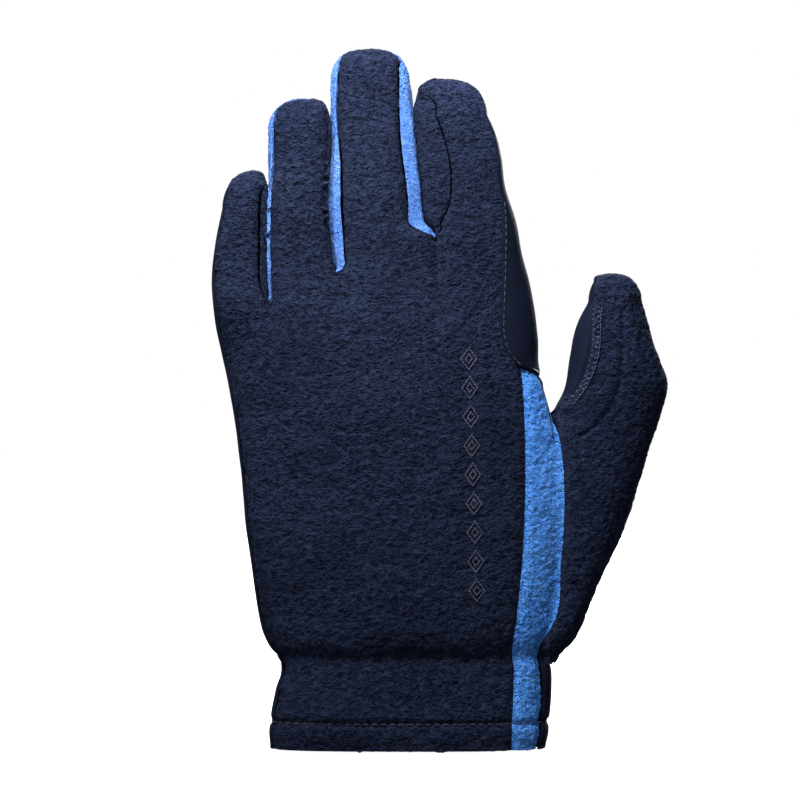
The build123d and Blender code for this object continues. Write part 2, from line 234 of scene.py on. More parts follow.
def column_edges(finger, z, side, cover=0.0):
    """The two borders of a finger's back or palm panel, and how deep each border lies.

    Over the tip the back panel covers the side strips, from 0 to 1.
    """
    low, high = finger.low(z), finger.high(z)
    depth = half_depth(z)
    edge_depth = BORDER_DEPTH * depth
    if side < 0:
        step_low = finger.low_strip(z)
        step_high = finger.high_strip(z) if finger.high_strip else high - back_edge(z)
    else:
        step_low = PALM_INSET + (LITTLE_INSET if finger.column == 0 else 0) + 0 * z
        step_high = high - palm_edge(z) if finger.column == 3 else PALM_INSET + 0 * z
    low_depth, high_depth = edge_depth, edge_depth
    if finger.low_web is not None:
        step_low = (step_low + FINGER_GAP) * web_opening(z, finger.low_web)
    if finger.high_web is not None:
        step_high = (step_high + FINGER_GAP) * web_opening(z, finger.high_web)
    if finger.column == 3 and side < 0:
        low_depth = depth * (BORDER_DEPTH + 0.26 * ease((z - webs[2]) / 14))
        high_depth = 0.9 * depth
    shown = 1 - cover * (side < 0)
    return low + step_low * shown, high - step_high * shown, low_depth, high_depth


def finger_height(finger, s, z, side):
    """Depth of a finger's panel at s across it, from border to border."""
    _, _, low_depth, high_depth = column_edges(finger, z, side)
    edge = low_depth + (high_depth - low_depth) * s
    arch = np.clip(1 - np.abs(2 * s - 1) ** 2.4, 0, 1) ** 0.62
    return edge + (half_depth(z) - edge) * arch


def column_point(finger, s, z, side, cover=0.0):
    """A point of the hand's back (-1) or palm (1), from the hem into one finger."""
    low, high, _, _ = column_edges(finger, z, side, cover)
    x = low + (high - low) * s
    low_web = finger.low_web or webs[0]
    high_web = finger.high_web or webs[2]
    web = low_web + (high_web - low_web) * s
    parted = ease((z - KNUCKLES + 8) / (web - KNUCKLES + 11))
    y = hand_height(x, z) * (1 - parted) + finger_height(finger, s, z, side) * parted
    return x, side * y, z


def tip_rows(v, start, shoulder, tip):
    """Height, level below the shoulder and shrinking of the sections up to a rounded tip."""
    rise = tip - shoulder
    straight = shoulder - start
    arc = rise * pi / 2
    along = v * (straight + arc)
    turn = np.clip((along - straight) / arc, 0, TIP_TURN) * pi / 2
    z = np.where(along < straight, start + along, shoulder + rise * np.sin(turn))
    return z, np.minimum(z, shoulder), np.cos(turn) ** TIP_TAPER


def drawn_in(x, y, centre, skew, shrink):
    """A section narrowed about its centre and thinned, leaning by skew as it closes."""
    return centre + (x - centre) * shrink + skew * (1 - shrink), y * shrink**TIP_FLATTEN


def covering(shrink):
    """How far the back panel has closed over the side strips at a tip section."""
    return ease((1 - shrink) / 0.22)


def closed_in(finger, x, y, z, level, shrink):
    """A section of a finger drawn in to its rounded tip."""
    centre = (finger.low(level) + finger.high(level)) / 2
    return *drawn_in(x, y, centre, finger.skew, shrink), z


def tip_point(finger, s, v, side):
    """A point of a finger's back (-1) or palm (1) beyond the split."""
    z, level, shrink = tip_rows(v, finger.split, finger.shoulder, finger.tip)
    x, y, _ = column_point(finger, s, level, side, covering(shrink))
    return closed_in(finger, x, y, z, level, shrink)


def side_point(finger, section, t, v, start):
    """A point of the cloth round a finger's side, from its back border (t 0) to the palm."""
    z, level, shrink = tip_rows(v, start, finger.shoulder, finger.tip)
    x, y = section(t, level, covering(shrink))
    return closed_in(finger, x, y, z, level, shrink)


def strip_section(finger, which, t, z, cover=0.0):
    """X and Y round the side of a finger at one height."""
    s = np.zeros_like(z) + (0.0 if which == "low" else 1.0)
    back_x, back_y, _ = column_point(finger, s, z, -1, cover)
    palm_x, palm_y, _ = column_point(finger, s, z, 1)
    web = finger.low_web if which == "low" else finger.high_web
    limit = finger.low(z) if which == "low" else finger.high(z)
    if web is not None:
        gap = FINGER_GAP * web_opening(z, web)
        limit = limit + (gap if which == "low" else -gap)
    return arc_section(t, back_x, back_y, limit, palm_x, palm_y)


def arc_section(t, back_x, back_y, limit, palm_x, palm_y):
    """A half ring from the back border over the limit of the outline to the palm border."""
    out = np.sin(pi * t)
    x = np.where(t < 0.5, back_x + (limit - back_x) * out, palm_x + (limit - palm_x) * out)
    y = np.where(t < 0.5, back_y * np.abs(np.cos(pi * t)), palm_y * np.abs(np.cos(pi * t)))
    return x, y


# ------------------------------------------------------------------ cloth surface
def pile(p):
    """Height of the curled pile at a point: short worm-like curls, matted here and there."""
    q = Vector((p.x / 2.1, p.y / 2.1, p.z / 1.65))
    q += 0.3 * noise.noise_vector(q * 0.7)
    curls = max(1 - 3.0 * abs(noise.noise(q)), -0.7)
    loose = noise.noise(q * 1.7 + Vector((7, 3, 1)))
    matted = noise.noise(q * 0.35)
    return 0.30 * curls + 0.24 * loose + 0.22 * matted - 0.14


def slack(p):
    """Slow swells of soft cloth over the whole glove."""
    q = Vector((p.x / 26, p.y / 20, p.z / 30))
    return 0.7 * noise.noise(q) + 0.28 * noise.noise(q * 2.7 + Vector((2, 9, 4)))


def gathers(p):
    """The pinch over the elastic, the bulge above it and the ruffles between them."""
    wander = noise.noise(Vector((p.x / 14, p.y / 14, 5)))
    line = WRIST + 2.6 + 1.3 * wander
    pinch = -1.15 * float(np.exp(-(((p.z - line) / 2.6) ** 2)))
    bulge = 0.75 * float(np.exp(-(((p.z - line - 8) / 5.5) ** 2)))
    ripple = sin((p.x + 0.6 * p.y) * 2 * pi / 7.3 + wander * 4)
    near = float(np.exp(-(((p.z - WRIST) / 7) ** 2)))
    return pinch + bulge + 0.5 * near * ripple * (0.6 + 0.7 * noise.noise(p / 9))


def hem_groove(p):
    """The line pulled in by the hem's stitches, and the puffed fold under it."""
    line = HEM_LINE - 0.35 * noise.noise(p / 17)
    puff = 0.35 * float(np.exp(-(((p.z - line + 4.5) / 3.0) ** 2)))
    return puff - 1.0 * float(np.exp(-(((p.z - line) / 1.0) ** 2)))


def thicken(bm, thickness):
    """Give a sheet an inner face at an even depth, and walls between the two."""
    bm.normal_update()
    inner = [(v, v.normal.copy()) for v in bm.verts]
    bmesh.ops.extrude_face_region(bm, geom=list(bm.faces), use_keep_orig=True)
    for v, normal in inner:
        v.co -= normal * thickness


def as_object(bm, name, material):
    """Turn a finished bmesh into an object of one material."""
    mesh = bpy.data.meshes.new(name)
    bm.to_mesh(mesh)
    bm.free()
    made = bpy.data.objects.new(name, mesh)
    bpy.context.scene.collection.objects.link(made)
    mesh.materials.append(material)
    return made


def shade_smooth(piece):
    """Smooth shading on every face."""
    for polygon in piece.data.polygons:
        polygon.use_smooth = True


def finish_piece(bm, name, material, rough, outward, thickness=FABRIC):
    """Give a mapped sheet its surface and thickness, and make it an object."""
    bmesh.ops.remove_doubles(bm, verts=bm.verts, dist=0.04)
    bm.normal_update()
    facing = sum((f.normal * f.calc_area()).dot(outward(f.calc_center_median()))
                 for f in bm.faces)
    if facing < 0:
        bmesh.ops.reverse_faces(bm, faces=bm.faces)
    bm.normal_update()
    normals = [v.normal.copy() for v in bm.verts]
    for v, normal in zip(bm.verts, normals):
        v.co += normal * rough(v.co)
        v.co.z = max(v.co.z, 0.0)
    bmesh.ops.scale(bm, vec=(MM, MM, MM), verts=bm.verts)
    if thickness:
        thicken(bm, thickness * MM)
    piece = as_object(bm, name, material)
    shade_smooth(piece)
    piece.data.set_sharp_from_angle(angle=SEAM_ANGLE)
    return piece


def add_sheet(bm, place, across, along):
    """A grid of cells laid on the surface that place(s, v) gives."""
    made = bmesh.ops.create_grid(bm, x_segments=across, y_segments=along, size=0.5)["verts"]
    s = np.array([v.co.x + 0.5 for v in made])
    t = np.array([v.co.y + 0.5 for v in made])
    for v, x, y, z in zip(made, *(np.broadcast_to(c, s.shape) for c in place(s, t))):
        v.co = (x, y, z)
    return made


def away_from_middle(p):
    """Outward, for a panel of the back or palm."""
    return Vector((0, -1 if p.y < 0 else 1, 0))


# ------------------------------------------------------------------ materials
def new_material(name, rough=0.9):
    """A material with a Principled shader, its node tree and a helper to add nodes."""
    material = bpy.data.materials.new(name)
    material.use_nodes = True
    tree = material.node_tree
    shader = tree.nodes["Principled BSDF"]
    shader.inputs["Roughness"].default_value = rough

    def node(kind, **settings):
        made = tree.nodes.new(kind)
        for key, value in settings.items():
            if key in made.inputs:
                made.inputs[key].default_value = value
            else:
                setattr(made, key, value)
        return made

    return material, tree, shader, node


def ramp(tree, node, source, stops):
    """A colour ramp fed by a value."""
    made = node("ShaderNodeValToRGB")
    made.color_ramp.elements[0].position = stops[0][0]
    made.color_ramp.elements[0].color = (*stops[0][1], 1)
    made.color_ramp.elements[1].position = stops[-1][0]
    made.color_ramp.elements[1].color = (*stops[-1][1], 1)
    for place, colour in stops[1:-1]:
        made.color_ramp.elements.new(place).color = (*colour, 1)
    tree.links.new(source, made.inputs["Fac"])
    return made.outputs["Color"]


def stack_bumps(tree, node, shader, heights):
    """Bump nodes in a row, from (height socket, strength, distance) entries."""
    normal = None
    for height, strength, distance in heights:
        bump = node("ShaderNodeBump", Strength=strength, Distance=distance)
        tree.links.new(height, bump.inputs["Height"])
        if normal:
            tree.links.new(normal, bump.inputs["Normal"])
        normal = bump.outputs["Normal"]
    tree.links.new(normal, shader.inputs["Normal"])


def pile_fleece(name, deep, middle, light, curl_scale, sheen_tint):
    """Curled pile: painted highlight on the curl tops and painted shade in the roots between them,
    with loose fibres over them.
    """
    material, tree, shader, node = new_material(name, 0.97)
    place = node("ShaderNodeTexCoord").outputs["Object"]
    stretch = node("ShaderNodeMapping", Scale=(0.85, 0.85, 1.25))
    tree.links.new(place, stretch.inputs["Vector"])
    curls = node("ShaderNodeTexNoise", Scale=curl_scale, Detail=1.5, Distortion=0.5)
    fibres = node("ShaderNodeTexNoise", Scale=1900.0, Detail=3.0, Roughness=0.7)
    clumps = node("ShaderNodeTexNoise", Scale=curl_scale * 0.8, Detail=3.0, Roughness=0.6)
    worn = node("ShaderNodeTexNoise", Scale=30.0, Detail=2.0)
    for texture in (curls, fibres, clumps, worn):
        tree.links.new(stretch.outputs["Vector"], texture.inputs["Vector"])

    def math(operation, first, second, third=0.0):
        made = node("ShaderNodeMath", operation=operation)
        for socket, value in zip(made.inputs, (first, second, third)):
            if isinstance(value, float):
                socket.default_value = value
            else:
                tree.links.new(value, socket)
        return made.outputs["Value"]

    level = math("ABSOLUTE", math("SUBTRACT", curls.outputs["Fac"], 0.5), 0.0)
    crest = math("MAXIMUM", math("MULTIPLY_ADD", level, -5.0, 1.0), 0.0)
    # The crest that raises the curls' bump also paints them: a painted highlight on each curl top
    # and painted shade in the roots between curls.
    curl_shade_and_tone = math("MULTIPLY", crest, 0.24)
    for texture, share in ((clumps, 0.40), (fibres, 0.42), (worn, 0.20)):
        curl_shade_and_tone = math("MULTIPLY_ADD", texture.outputs["Fac"], share, curl_shade_and_tone)
    colour = ramp(tree, node, curl_shade_and_tone, [(0.44, deep), (0.64, middle), (0.86, light)])
    tree.links.new(colour, shader.inputs["Base Color"])
    shader.inputs["Sheen Weight"].default_value = 0.04
    shader.inputs["Sheen Roughness"].default_value = 0.5
    shader.inputs["Sheen Tint"].default_value = (*sheen_tint, 1)
    shader.inputs["Specular IOR Level"].default_value = 0.06
    stack_bumps(tree, node, shader, [(crest, 0.8, 0.0008),
                                     (clumps.outputs["Fac"], 0.7, 0.0014),
                                     (fibres.outputs["Fac"], 0.5, 0.0005)])
    return material


def smooth_cloth(name, deep, light, rough=0.75, sheen=0.03):
    """Close smooth knit with a suede hand: fine ribs and a soft mottle."""
    material, tree, shader, node = new_material(name, rough)
    place = node("ShaderNodeTexCoord").outputs["Object"]
    ribs = node("ShaderNodeTexWave", wave_type="BANDS", bands_direction="X", Scale=420.0,
                Distortion=1.2, Detail=1.0)
    ribs.inputs["Detail Scale"].default_value = 60.0
    courses = node("ShaderNodeTexWave", wave_type="BANDS", bands_direction="Z", Scale=330.0,
                   Distortion=1.0, Detail=1.0)
    mottle = node("ShaderNodeTexNoise", Scale=55.0, Detail=4.0, Roughness=0.6)
    nap = node("ShaderNodeTexNoise", Scale=1500.0, Detail=2.0)
    for texture in (ribs, courses, mottle, nap):
        tree.links.new(place, texture.inputs["Vector"])
    blend = node("ShaderNodeMath", operation="MULTIPLY_ADD")
    blend.inputs[1].default_value = 0.35
    tree.links.new(nap.outputs["Fac"], blend.inputs[0])
    tree.links.new(mottle.outputs["Fac"], blend.inputs[2])
    colour = ramp(tree, node, blend.outputs["Value"], [(0.45, deep), (0.95, light)])
    tree.links.new(colour, shader.inputs["Base Color"])
    shader.inputs["Sheen Weight"].default_value = sheen
    shader.inputs["Sheen Roughness"].default_value = 0.35
    shader.inputs["Sheen Tint"].default_value = (0.4, 0.5, 0.8, 1)
    shader.inputs["Specular IOR Level"].default_value = 0.08
    stack_bumps(tree, node, shader, [(ribs.outputs["Fac"], 0.12, 0.0003),
                                     (courses.outputs["Fac"], 0.12, 0.0003),
                                     (nap.outputs["Fac"], 0.25, 0.0002)])
    return material


def twisted_thread(name, dark, light, rough=0.45):
    """Sewing or embroidery thread: a fine twist with a soft shine."""
    material, tree, shader, node = new_material(name, rough)
    place = node("ShaderNodeTexCoord").outputs["Object"]
    turn = node("ShaderNodeMapping", Rotation=(0.3, 0.2, 0.9))
    tree.links.new(place, turn.inputs["Vector"])
    twist = node("ShaderNodeTexWave", wave_type="BANDS", bands_direction="DIAGONAL",
                 Scale=900.0, Distortion=1.5, Detail=1.0)
    tree.links.new(turn.outputs["Vector"], twist.inputs["Vector"])
    colour = ramp(tree, node, twist.outputs["Fac"], [(0.1, dark), (0.9, light)])
    tree.links.new(colour, shader.inputs["Base Color"])
    shader.inputs["Sheen Weight"].default_value = 0.2
    stack_bumps(tree, node, shader, [(twist.outputs["Fac"], 0.5, 0.0002)])
    return material


NAVY = pile_fleece("navy pile fleece", (0.0028, 0.0042, 0.0115), (0.0070, 0.0104, 0.0265),
                   (0.0200, 0.0285, 0.0640), 560.0, (0.35, 0.45, 0.8))
BLUE = pile_fleece("blue pile fleece", (0.0300, 0.1450, 0.4900), (0.0560, 0.2250, 0.6900),
                   (0.1500, 0.3900, 0.8800), 900.0, (0.6, 0.75, 1.0))
PALE_BLUE = pile_fleece("brushed blue pile", (0.0380, 0.1250, 0.4000), (0.0720, 0.1900, 0.5500),
                        (0.1800, 0.3100, 0.6800), 900.0, (0.6, 0.75, 1.0))
PALM_CLOTH = smooth_cloth("palm knit", (0.0022, 0.0038, 0.0115), (0.0048, 0.0080, 0.0225),
                          sheen=0.01)
SEAM_THREAD = twisted_thread("navy sewing thread", (0.003, 0.005, 0.013),
                             (0.009, 0.013, 0.030), 0.6)
RIDGE_THREAD = twisted_thread("blue navy overlock thread", (0.006, 0.012, 0.032),
                              (0.022, 0.038, 0.095))
MOTIF_THREAD = twisted_thread("lilac navy embroidery thread", (0.010, 0.011, 0.030),
                              (0.034, 0.036, 0.082), 0.5)
BINDING = smooth_cloth("black binding tape", (0.0010, 0.0012, 0.0018), (0.0045, 0.0055, 0.0080),
                       0.38, 0.04)
LINING = smooth_cloth("dark lining knit", (0.004, 0.005, 0.010), (0.009, 0.011, 0.020), 0.85)
ELASTIC = smooth_cloth("ribbed elastic", (0.006, 0.006, 0.008), (0.020, 0.020, 0.024), 0.6, 0.1)
LABEL = smooth_cloth("woven label", (0.50, 0.50, 0.47), (0.70, 0.70, 0.66), 0.8, 0.1)


# ------------------------------------------------------------------ how surfaces vary
def fleece_surface(*extras):
    """Displacement of a fleece panel: slack, pile and whatever else it has."""
    def rough(p):
        return slack(p) + pile(p) + gathers(p) + hem_groove(p) + sum(e(p) for e in extras)
    return rough


def cloth_surface(*extras):
    """Displacement of a smooth panel."""
    def rough(p):
        return slack(p) + gathers(p) + hem_groove(p) + sum(e(p) for e in extras)
    return rough


def beside(edge, side, deep=0.9, wide=1.5):
    """A seam that pulls the panel in along a line of X by height, on one side of the glove."""
    def dip(p):
        if p.y * side < 0:
            return 0.0
        return -deep * float(np.exp(-(((p.x - edge(p.z)) / wide) ** 2)))
    return dip


def blended(piece):
    """Bake a piece's placement into its mesh."""
    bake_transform(piece)


def over_knuckles(piece):
    """For a piece from the hand to the knuckles: bake its placement into its mesh."""
    blended(piece)


def over_finger(piece):
    """For a piece from the knuckles to a fingertip: bake its placement into its mesh."""
    blended(piece)


def over_thumb(piece):
    """For a piece from the hand to the thumb's base: bake its placement into its mesh."""
    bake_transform(piece)


# ------------------------------------------------------------------ hand and finger roots
COUNTED_AT = 60.0           # height where a column's width sets its number of cells


def make_main_panel(name, side, material, surface, cell):
    """The back or palm: four columns from the hem, joined below the webs."""
    bm = bmesh.new()
    for finger in fingers:
        low, high, _, _ = column_edges(finger, np.array([COUNTED_AT]), side)
        add_sheet(bm, lambda s, v: column_point(finger, s, v * finger.split, side),
                  round(float((high - low)[0]) / cell), round(finger.split / cell))
    return finish_piece(bm, name, material, surface, away_from_middle)


stripe_dip = beside(stripe_inner, -1)
wrap_dip = beside(back_edge, -1, 0.7, 1.2)
edge_dip = beside(lambda z: little_edge(z) + 2.0, -1, 0.6, 1.2)


def strip_dips(p):
    """Seams along the side strips of the fingers, on the back."""
    total = 0.0
    if p.y > 0 or p.z < webs[0] - 4:
        return total
    for finger in fingers:
        low, high, _, _ = column_edges(finger, p.z, -1)
        if finger.low_web and p.z > finger.low_web - 3:
            total += float(np.exp(-(((p.x - low) / 1.3) ** 2)))
        if finger.high_web and p.z > finger.high_web - 3:
            total += float(np.exp(-(((p.x - high) / 1.3) ** 2)))
    return -0.75 * min(total, 1.0)


LOZENGE_WIDE, LOZENGE_HIGH, LOZENGE_PITCH, LOZENGES = 5.4, 7.6, 10.1, 9
MOTIF_X, MOTIF_Z, MOTIF_LEAN = 24.0, 56.0, 0.35     # lowest lozenge, and each one's shift
PRESSED_FROM, PRESSED_TO = 48, 144                  # heights between which the pile is flat
motif_centres = [(MOTIF_X - MOTIF_LEAN * n, MOTIF_Z + LOZENGE_PITCH * n)
                 for n in range(LOZENGES)]


def motif_press(p):
    """The pile pressed flat along the run of embroidery."""
    if p.y > 0 or not PRESSED_FROM < p.z < PRESSED_TO:
        return 0.0
    beside_run = (p.x - MOTIF_X + MOTIF_LEAN * (p.z - MOTIF_Z) / LOZENGE_PITCH) / 4.2
    ends = ease((p.z - PRESSED_FROM) / 4) * ease((PRESSED_TO - p.z) / 4)
    return -0.5 * float(np.exp(-(beside_run**4)) * ends)


back_surface = fleece_surface(stripe_dip, edge_dip, strip_dips, motif_press)
back = make_main_panel("back_fleece", -1, NAVY, back_surface, FINE)
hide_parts("back_panel", "knuckle_back")
over_knuckles(back)
palm = make_main_panel("palm_cloth", 1, PALM_CLOTH, cloth_surface(), FINE * 2)
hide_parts("palm_panel", "knuckle_palm", "knuckle_crease")
over_knuckles(palm)

# ------------------------------------------------------------------ fingertips
TIP_ARC = 6                 # length that rounding over adds to a tip's panel
TIP_ACROSS = 30             # width that a fingertip's cells are counted for


for finger in fingers:
    for side, material, slot, cell, word in ((-1, NAVY, "navy_fleece", FINE, "back"),
                                             (1, PALM_CLOTH, "palm_fabric", PLAIN, "palm")):
        bm = bmesh.new()
        reach = finger.tip - finger.split + TIP_ARC
        add_sheet(bm, lambda s, v: tip_point(finger, s, v, side), round(TIP_ACROSS / cell),
                  round(reach / cell))
        surface = (fleece_surface(strip_dips) if side < 0 else cloth_surface())
        tip = finish_piece(bm, f"{finger.name}_finger_{word}", material, surface,
                           away_from_middle)
        replaced = [f"{finger.name}_tip_{word}"]
        if side > 0:
            replaced.append(finger.name + "_crease")
        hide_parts(*replaced)
        over_finger(tip)

# ------------------------------------------------------------------ strips down the fingers
def side_ripple(p):
    """The wave that two touching fingers share, as a shift to the thumb side."""
    return 0.35 * sin(p.y * 1.5 + 1.5 * noise.noise(p / 9)) + 0.25 * noise.noise(p / 5)


STRIP_CELLS = 22            # cells round a finger's side strip
STRIPS = (
    ("little_inner_strip", 0, "high", NAVY, "navy_fleece", "little_inner_tip_strip"),
    ("ring_blue_strip", 1, "low", PALE_BLUE, "blue_fleece", "ring_blue_tip_strip"),
    ("ring_inner_strip", 1, "high", NAVY, "navy_fleece", "ring_inner_tip_strip"),
    ("middle_blue_strip_left", 2, "low", PALE_BLUE, "blue_fleece", "middle_blue_tip_strip_left"),
    ("middle_blue_strip_right", 2, "high", PALE_BLUE, "blue_fleece",
     "middle_blue_tip_strip_right"),
    ("index_inner_strip", 3, "low", NAVY, "navy_fleece", "index_inner_tip_strip"),
)
for node_name, column, which, material, slot, tip_name in STRIPS:
    finger = fingers[column]
    start = finger.low_web if which == "low" else finger.high_web
    bm = bmesh.new()
    outward_x = -1 if which == "low" else 1

    def section(t, z, cover):
        return strip_section(finger, which, t, z, cover)

    add_sheet(bm, lambda t, v: side_point(finger, section, t, v, start), STRIP_CELLS,
              round((finger.tip - start + TIP_ARC) / FINE))
    strip = finish_piece(bm, node_name + "_cloth", material,
                         lambda p: outward_x * (0.5 * pile(p) + side_ripple(p)),
                         lambda p: Vector((outward_x, 0, 0)), thickness=1.2)
    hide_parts(node_name, tip_name)
    over_finger(strip)


# ------------------------------------------------------------------ outer sides
def outer_strip(name, section, low, high, across, cell, outward_x):
    """A strip of smooth cloth round an outer side of the hand between two heights."""
    bm = bmesh.new()

    def place(t, v):
        z = low + (high - low) * v
        x, y = section(t, z)
        return x, y, z

    add_sheet(bm, place, across, round((high - low) / cell))
    return finish_piece(bm, name, PALM_CLOTH, cloth_surface(),
                        lambda p: Vector((outward_x, 0, 0)))


little, index = fingers[0], fingers[3]
LITTLE_CELLS, WRAP_CELLS, CUFF_CELLS = 16, 34, 22   # cells round each outer strip
WRAP_LOW, WRAP_FREE, WRAP_FULL = 109, 130.5, 133.5  # the wrap's foot, and where it comes clear
CUFF_TOP = 34                                       # height of the smooth cloth on the cuff
little_side = outer_strip("little_side_cloth", lambda t, z: strip_section(little, "low", t, z),
                          0, little.split, LITTLE_CELLS, PLAIN, -1)
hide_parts("little_side_strip", "knuckle_side_strip")
over_knuckles(little_side)


def wrap_section(t, z, cover=0.0):
    """The smooth cloth over the index side, from the topstitched seam to the palm."""
    back_x = wrap_edge(z) + (thumb_side_edge(z) - wrap_edge(z)) * cover
    on_hand = hand_height(back_x, z)
    back_s = np.ones_like(z)
    _, finger_y, _ = column_point(index, back_s, z, -1, cover)
    back_y = -on_hand + (on_hand + finger_y) * ease((z - WRAP_FULL) / 3)
    palm_x, palm_y, _ = column_point(index, back_s, z, 1)
    shown = ease((z - WRAP_FREE) / 2)
    back_x = back_x - 0.9 * (1 - shown)
    limit = thumb_side_edge(z) * shown + back_x * (1 - shown)
    return arc_section(t, back_x, back_y, limit, palm_x, palm_y)


wrap = outer_strip("index_wrap_cloth", wrap_section, WRAP_LOW, index.split, WRAP_CELLS, 1.0, 1)
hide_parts("index_wrap")
over_knuckles(wrap)


def finger_end(finger, outward_x, section, name, node, across):
    """The smooth cloth over the outer side of the little or index finger's tip."""
    bm = bmesh.new()
    add_sheet(bm, lambda t, v: side_point(finger, section, t, v, finger.split), across,
              round(finger.tip - finger.split + TIP_ARC))
    made = finish_piece(bm, name, PALM_CLOTH, cloth_surface(),
                        lambda p: Vector((outward_x, 0, 0)))
    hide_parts(node)
    over_finger(made)


finger_end(little, -1, lambda t, z, cover: strip_section(little, "low", t, z, cover),
           "little_outer_cloth", "little_tip_side_strip", LITTLE_CELLS)
finger_end(index, 1, wrap_section, "index_tip_wrap_cloth", "index_tip_wrap", WRAP_CELLS)

# ------------------------------------------------------------------ stripe and cuff side
STRIPE_TOP, STRIPE_FALL = 133.6, 2.9
bm = bmesh.new()


def stripe_point(s, v):
    """The blue stripe, cut on the slant where the binding crosses it."""
    z = v * (STRIPE_TOP - STRIPE_FALL * s)
    x = stripe_inner(z) + (stripe_outer(z) - stripe_inner(z)) * s
    return x, -hand_height(x, z), z


add_sheet(bm, stripe_point, 20, round(STRIPE_TOP / FINE))
stripe = finish_piece(bm, "side_stripe_fleece", BLUE,
                      fleece_surface(stripe_dip, beside(stripe_outer, -1)), away_from_middle)
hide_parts("side_stripe")
over_thumb(stripe)


def cuff_section(t, z):
    """The smooth cloth round the thumb side of the cuff."""
    back_x = stripe_outer(z)
    palm_x = palm_edge(z)
    return arc_section(t, back_x, -hand_height(back_x, z), thumb_side_edge(z) + 0.3, palm_x,
                       hand_height(palm_x, z))


cuff_side = outer_strip("cuff_side_cloth", cuff_section, 0, CUFF_TOP, CUFF_CELLS, 1.0, 1)
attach(cuff_side, "hand")

# ------------------------------------------------------------------ thumb
THUMB_LOW, THUMB_SPLIT = 29.5, 124.5
THUMB_FREE = 115            # where the thumb leaves the stripe and the palm's seam
CROTCH_X, CROTCH_Z = 52, 118
THUMB_TIP = top_of("thumb_tip_back")
THUMB_SHOULDER, THUMB_SKEW = 157.0, -1.2


def thumb_left(z, side):
    """Left border of the thumb's base: the stripe or the palm's seam, then its own outline."""
    seam = stripe_outer(z) if side < 0 else 46.4 + 0 * z
    free = ease((z - THUMB_FREE) / 4)
    return seam + (thumb_inner(z) - seam) * free


def thumb_base(s, v, side):
    """The thumb's base on one side, from the wrist to the split."""
    z = THUMB_LOW + (THUMB_SPLIT - THUMB_LOW) * v
    left, right = thumb_left(z, side), thumb_outer(z)
    spread = ease(s) * 0.35 + s * 0.65
    spread = spread + (np.sin(pi * s / 2) - s) * 0.45
    x = left + (right - left) * spread
    return x, side * hand_height(x, z), z


def thumb_end(s, v, side, left_edge, right_edge):
    """The thumb beyond the split on one side, between two lines."""
    z, level, shrink = tip_rows(v, THUMB_SPLIT, THUMB_SHOULDER, THUMB_TIP)
    left, right = left_edge(level), right_edge(level)
    if right_edge is thumb_outer:
        s = s + (np.sin(pi * s / 2) - s) * 0.8
    else:
        s = s + ((1 - np.cos(pi * s / 2)) - s) * 0.8
    x = left + (right - left) * s
    y = side * hand_height(x, level)
    centre = (thumb_inner(level) + thumb_outer(level)) / 2
    return *drawn_in(x, y, centre, THUMB_SKEW, shrink), z


def ridge(p):
    """The raised seam between the thumb's fleece and its smooth patch."""
    if p.y > 0 or p.z < 119:
        return 0.0
    off = p.x - float(patch_edge(min(p.z, 157)))
    return 0.9 * float(np.exp(-((off - 1.6) / 1.5) ** 2)) - 0.8 * float(np.exp(-((off / 0.8) ** 2)))


second_seam = curve((106, 56), (108.5, 58.5), (112, 63.7), (121, 71.4), (135, 74.9), (154, 75.4))


def thumb_seam(p):
    """The groove of the seam that curves over the thumb's back."""
    if p.y > 0 or not 107 < p.z < 156:
        return 0.0
    fade = float(ease((p.z - 107) / 3) * ease((156 - p.z) / 4))
    return -0.9 * fade * float(np.exp(-(((p.x - second_seam(p.z)) / 1.1) ** 2)))


def crotch_folds(p):
    """Short folds that fan out below the crotch."""
    if p.y > 0:
        return 0.0
    along = (p.x - CROTCH_X) * 0.88 + (CROTCH_Z - p.z) * 0.3
    off = (CROTCH_Z - p.z) * 0.9 - (p.x - CROTCH_X) * 0.28
    fade = float(np.exp(-((along - 5) / 7) ** 2))
    return -1.0 * fade * float(np.exp(-((off - 0.2) / 1.3) ** 2))


thumb_pile = fleece_surface(ridge, thumb_seam, crotch_folds, beside(stripe_outer, -1))
bm = bmesh.new()
add_sheet(bm, lambda s, v: thumb_base(s, v, -1), 50, round((THUMB_SPLIT - THUMB_LOW) / FINE))
piece = finish_piece(bm, "thumb_base_fleece", NAVY, thumb_pile, away_from_middle)
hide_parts("thumb_back")
over_thumb(piece)
bm = bmesh.new()
add_sheet(bm, lambda s, v: thumb_base(s, v, 1), 40, round((THUMB_SPLIT - THUMB_LOW) / PLAIN))
piece = finish_piece(bm, "thumb_base_palm", PALM_CLOTH, cloth_surface(),
                     away_from_middle)
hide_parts("thumb_palm", "thumb_crease")
over_thumb(piece)
for name, side, left_edge, right_edge, material, slot, surface, cell, nodes in (
        ("thumb_end_fleece", -1, patch_edge, thumb_outer, NAVY, "navy_fleece", thumb_pile, FINE,
         ["thumb_tip_back"]),
        ("thumb_patch_cloth", -1, thumb_inner, patch_edge, PALM_CLOTH, "palm_fabric",
         cloth_surface(ridge), 1.0, ["thumb_patch", "thumb_tip_patch"]),
        ("thumb_end_palm", 1, thumb_inner, thumb_outer, PALM_CLOTH, "palm_fabric",
         cloth_surface(), PLAIN, ["thumb_tip_palm", "thumb_tip_crease"])):
    bm = bmesh.new()
    add_sheet(bm, lambda s, v: thumb_end(s, v, side, left_edge, right_edge), round(32 / cell),
              round((THUMB_TIP - THUMB_SPLIT + TIP_ARC) / cell))
    piece = finish_piece(bm, name, material, surface, away_from_middle)
    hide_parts(*nodes)
    blended(piece)

